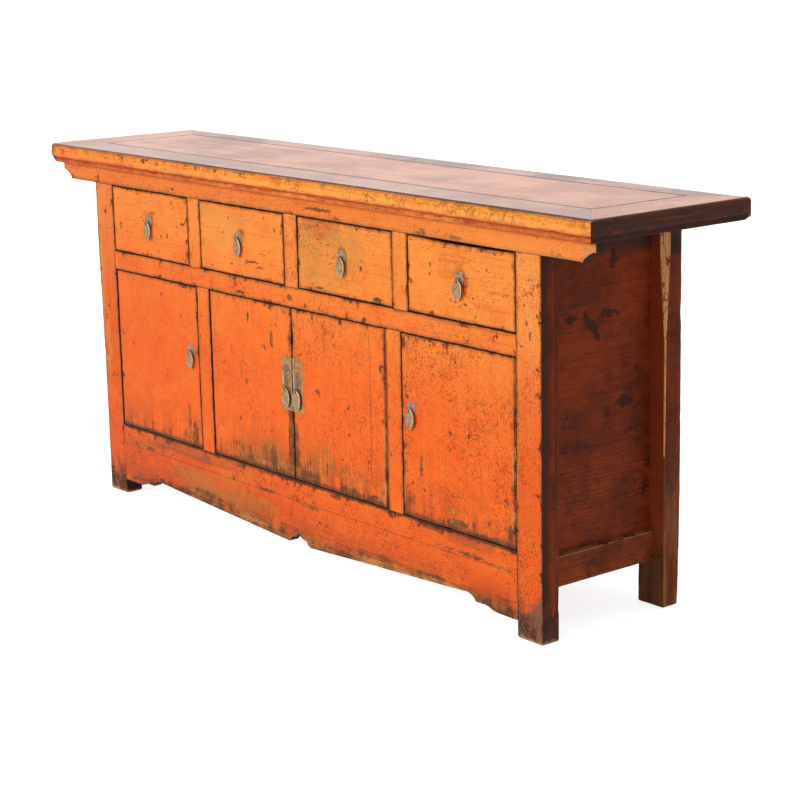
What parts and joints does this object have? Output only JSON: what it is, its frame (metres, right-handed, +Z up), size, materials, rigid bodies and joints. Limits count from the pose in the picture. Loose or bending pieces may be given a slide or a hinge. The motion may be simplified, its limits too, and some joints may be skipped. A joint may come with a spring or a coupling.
{
  "type": "sideboard",
  "caption": "Long lacquered sideboard: drawers over pivot-hung doors, mitred overhanging top, shaped apron, plain legs, drop pulls and a pair of lock plates.",
  "frame": {"origin": "middle of the floor area under the top, at floor level", "axes": "+X to the right as seen from the front, -Y towards the front, +Z up"},
  "size_m": [1.96, 0.442, 0.88],
  "materials": {
    "front_lacquer": "worn orange lacquer",
    "drawer_lacquer": "worn light orange lacquer",
    "door_lacquer": "crackled orange lacquer",
    "top_lacquer": "worn polished lacquer",
    "side_lacquer": "dark red-brown lacquer",
    "bare_wood": "aged bare wood",
    "grey_bronze": "dull worn metal",
    "lock_brass": "aged brass"
  },
  "bodies": {
    "carcase": {"apron_front": "front_lacquer", "back_boards": "bare_wood", "bottom_boards": "bare_wood", "bottom_rail_back": "bare_wood", "bottom_rail_front": "front_lacquer", "door_stile_left": "front_lacquer", "door_stile_right": "front_lacquer", "drawer_runners": "bare_wood", "drawer_stile_centre": "front_lacquer", "drawer_stile_left": "front_lacquer", "drawer_stile_right": "front_lacquer", "drawer_stops": "bare_wood", "mid_rail_back": "bare_wood", "mid_rail_front": "front_lacquer", "post_back_left": "side_lacquer", "post_back_right": "side_lacquer", "post_front_left": "front_lacquer", "post_front_right": "front_lacquer", "side_bottom_rail_left": "side_lacquer", "side_bottom_rail_right": "side_lacquer", "side_panel_left": "side_lacquer", "side_panel_right": "side_lacquer", "side_top_rail_left": "side_lacquer", "side_top_rail_right": "side_lacquer", "top_battens": "bare_wood", "top_frame_back": "top_lacquer", "top_frame_front": "front_lacquer", "top_frame_left": "side_lacquer", "top_frame_right": "side_lacquer", "top_panel": "top_lacquer", "top_rail_back": "bare_wood", "top_rail_front": "front_lacquer"},
    "drawer_1": {"drawer_1_front": "drawer_lacquer", "drawer_1_box": "bare_wood", "drawer_1_pull_plate": "grey_bronze"},
    "drawer_2": {"drawer_2_front": "drawer_lacquer", "drawer_2_box": "bare_wood", "drawer_2_pull_plate": "grey_bronze"},
    "drawer_3": {"drawer_3_front": "drawer_lacquer", "drawer_3_box": "bare_wood", "drawer_3_pull_plate": "grey_bronze"},
    "drawer_4": {"drawer_4_front": "drawer_lacquer", "drawer_4_box": "bare_wood", "drawer_4_pull_plate": "grey_bronze"},
    "door_left_leaf": {"door_left": "door_lacquer", "door_left_pull_plate": "grey_bronze"},
    "door_centre_left_leaf": {"door_centre_left": "door_lacquer", "lock_plate_left": "lock_brass"},
    "door_centre_right_leaf": {"door_centre_right": "door_lacquer", "lock_plate_right": "lock_brass"},
    "door_right_leaf": {"door_right": "door_lacquer", "door_right_pull_plate": "grey_bronze"},
    "drawer_1_drop_piece": {"drawer_1_drop": "grey_bronze"},
    "drawer_2_drop_piece": {"drawer_2_drop": "grey_bronze"},
    "drawer_3_drop_piece": {"drawer_3_drop": "grey_bronze"},
    "drawer_4_drop_piece": {"drawer_4_drop": "grey_bronze"},
    "door_left_drop_piece": {"door_left_drop": "grey_bronze"},
    "door_right_drop_piece": {"door_right_drop": "grey_bronze"},
    "lock_drop_left_piece": {"lock_drop_left": "grey_bronze"},
    "lock_drop_right_piece": {"lock_drop_right": "grey_bronze"}
  },
  "joints": [
    {"name": "drawer_1_slide", "type": "slide", "parent": "carcase", "child": "drawer_1", "axis": [0, -1, 0], "range_m": [0, 0.24]},
    {"name": "drawer_2_slide", "type": "slide", "parent": "carcase", "child": "drawer_2", "axis": [0, -1, 0], "range_m": [0, 0.24]},
    {"name": "drawer_3_slide", "type": "slide", "parent": "carcase", "child": "drawer_3", "axis": [0, -1, 0], "range_m": [0, 0.24]},
    {"name": "drawer_4_slide", "type": "slide", "parent": "carcase", "child": "drawer_4", "axis": [0, -1, 0], "range_m": [0, 0.24]},
    {"name": "door_left_hinge", "type": "hinge", "parent": "carcase", "child": "door_left_leaf", "pos_m": [-0.724, -0.181, 0.3825], "axis": [0, 0, -1], "range_deg": [0, 105]},
    {"name": "door_centre_left_hinge", "type": "hinge", "parent": "carcase", "child": "door_centre_left_leaf", "pos_m": [-0.315, -0.181, 0.3825], "axis": [0, 0, -1], "range_deg": [0, 105]},
    {"name": "door_centre_right_hinge", "type": "hinge", "parent": "carcase", "child": "door_centre_right_leaf", "pos_m": [0.315, -0.181, 0.3825], "axis": [0, 0, 1], "range_deg": [0, 105]},
    {"name": "door_right_hinge", "type": "hinge", "parent": "carcase", "child": "door_right_leaf", "pos_m": [0.724, -0.181, 0.3825], "axis": [0, 0, 1], "range_deg": [0, 105]},
    {"name": "drawer_1_drop_swing", "type": "hinge", "parent": "drawer_1", "child": "drawer_1_drop_piece", "pos_m": [-0.57337, -0.1983, 0.716], "axis": [-1, 0, 0], "range_deg": [0, 85]},
    {"name": "drawer_2_drop_swing", "type": "hinge", "parent": "drawer_2", "child": "drawer_2_drop_piece", "pos_m": [-0.19112, -0.1983, 0.716], "axis": [-1, 0, 0], "range_deg": [0, 85]},
    {"name": "drawer_3_drop_swing", "type": "hinge", "parent": "drawer_3", "child": "drawer_3_drop_piece", "pos_m": [0.19112, -0.1983, 0.716], "axis": [-1, 0, 0], "range_deg": [0, 85]},
    {"name": "drawer_4_drop_swing", "type": "hinge", "parent": "drawer_4", "child": "drawer_4_drop_piece", "pos_m": [0.57337, -0.1983, 0.716], "axis": [-1, 0, 0], "range_deg": [0, 85]},
    {"name": "door_left_drop_swing", "type": "hinge", "parent": "door_left_leaf", "child": "door_left_drop_piece", "pos_m": [-0.414, -0.1983, 0.421], "axis": [-1, 0, 0], "range_deg": [0, 85]},
    {"name": "door_right_drop_swing", "type": "hinge", "parent": "door_right_leaf", "child": "door_right_drop_piece", "pos_m": [0.414, -0.1983, 0.421], "axis": [-1, 0, 0], "range_deg": [0, 85]},
    {"name": "lock_drop_left_swing", "type": "hinge", "parent": "door_centre_left_leaf", "child": "lock_drop_left_piece", "pos_m": [-0.0205, -0.1983, 0.395], "axis": [-1, 0, 0], "range_deg": [0, 85]},
    {"name": "lock_drop_right_swing", "type": "hinge", "parent": "door_centre_right_leaf", "child": "lock_drop_right_piece", "pos_m": [0.0205, -0.1983, 0.395], "axis": [-1, 0, 0], "range_deg": [0, 85]}
  ]
}
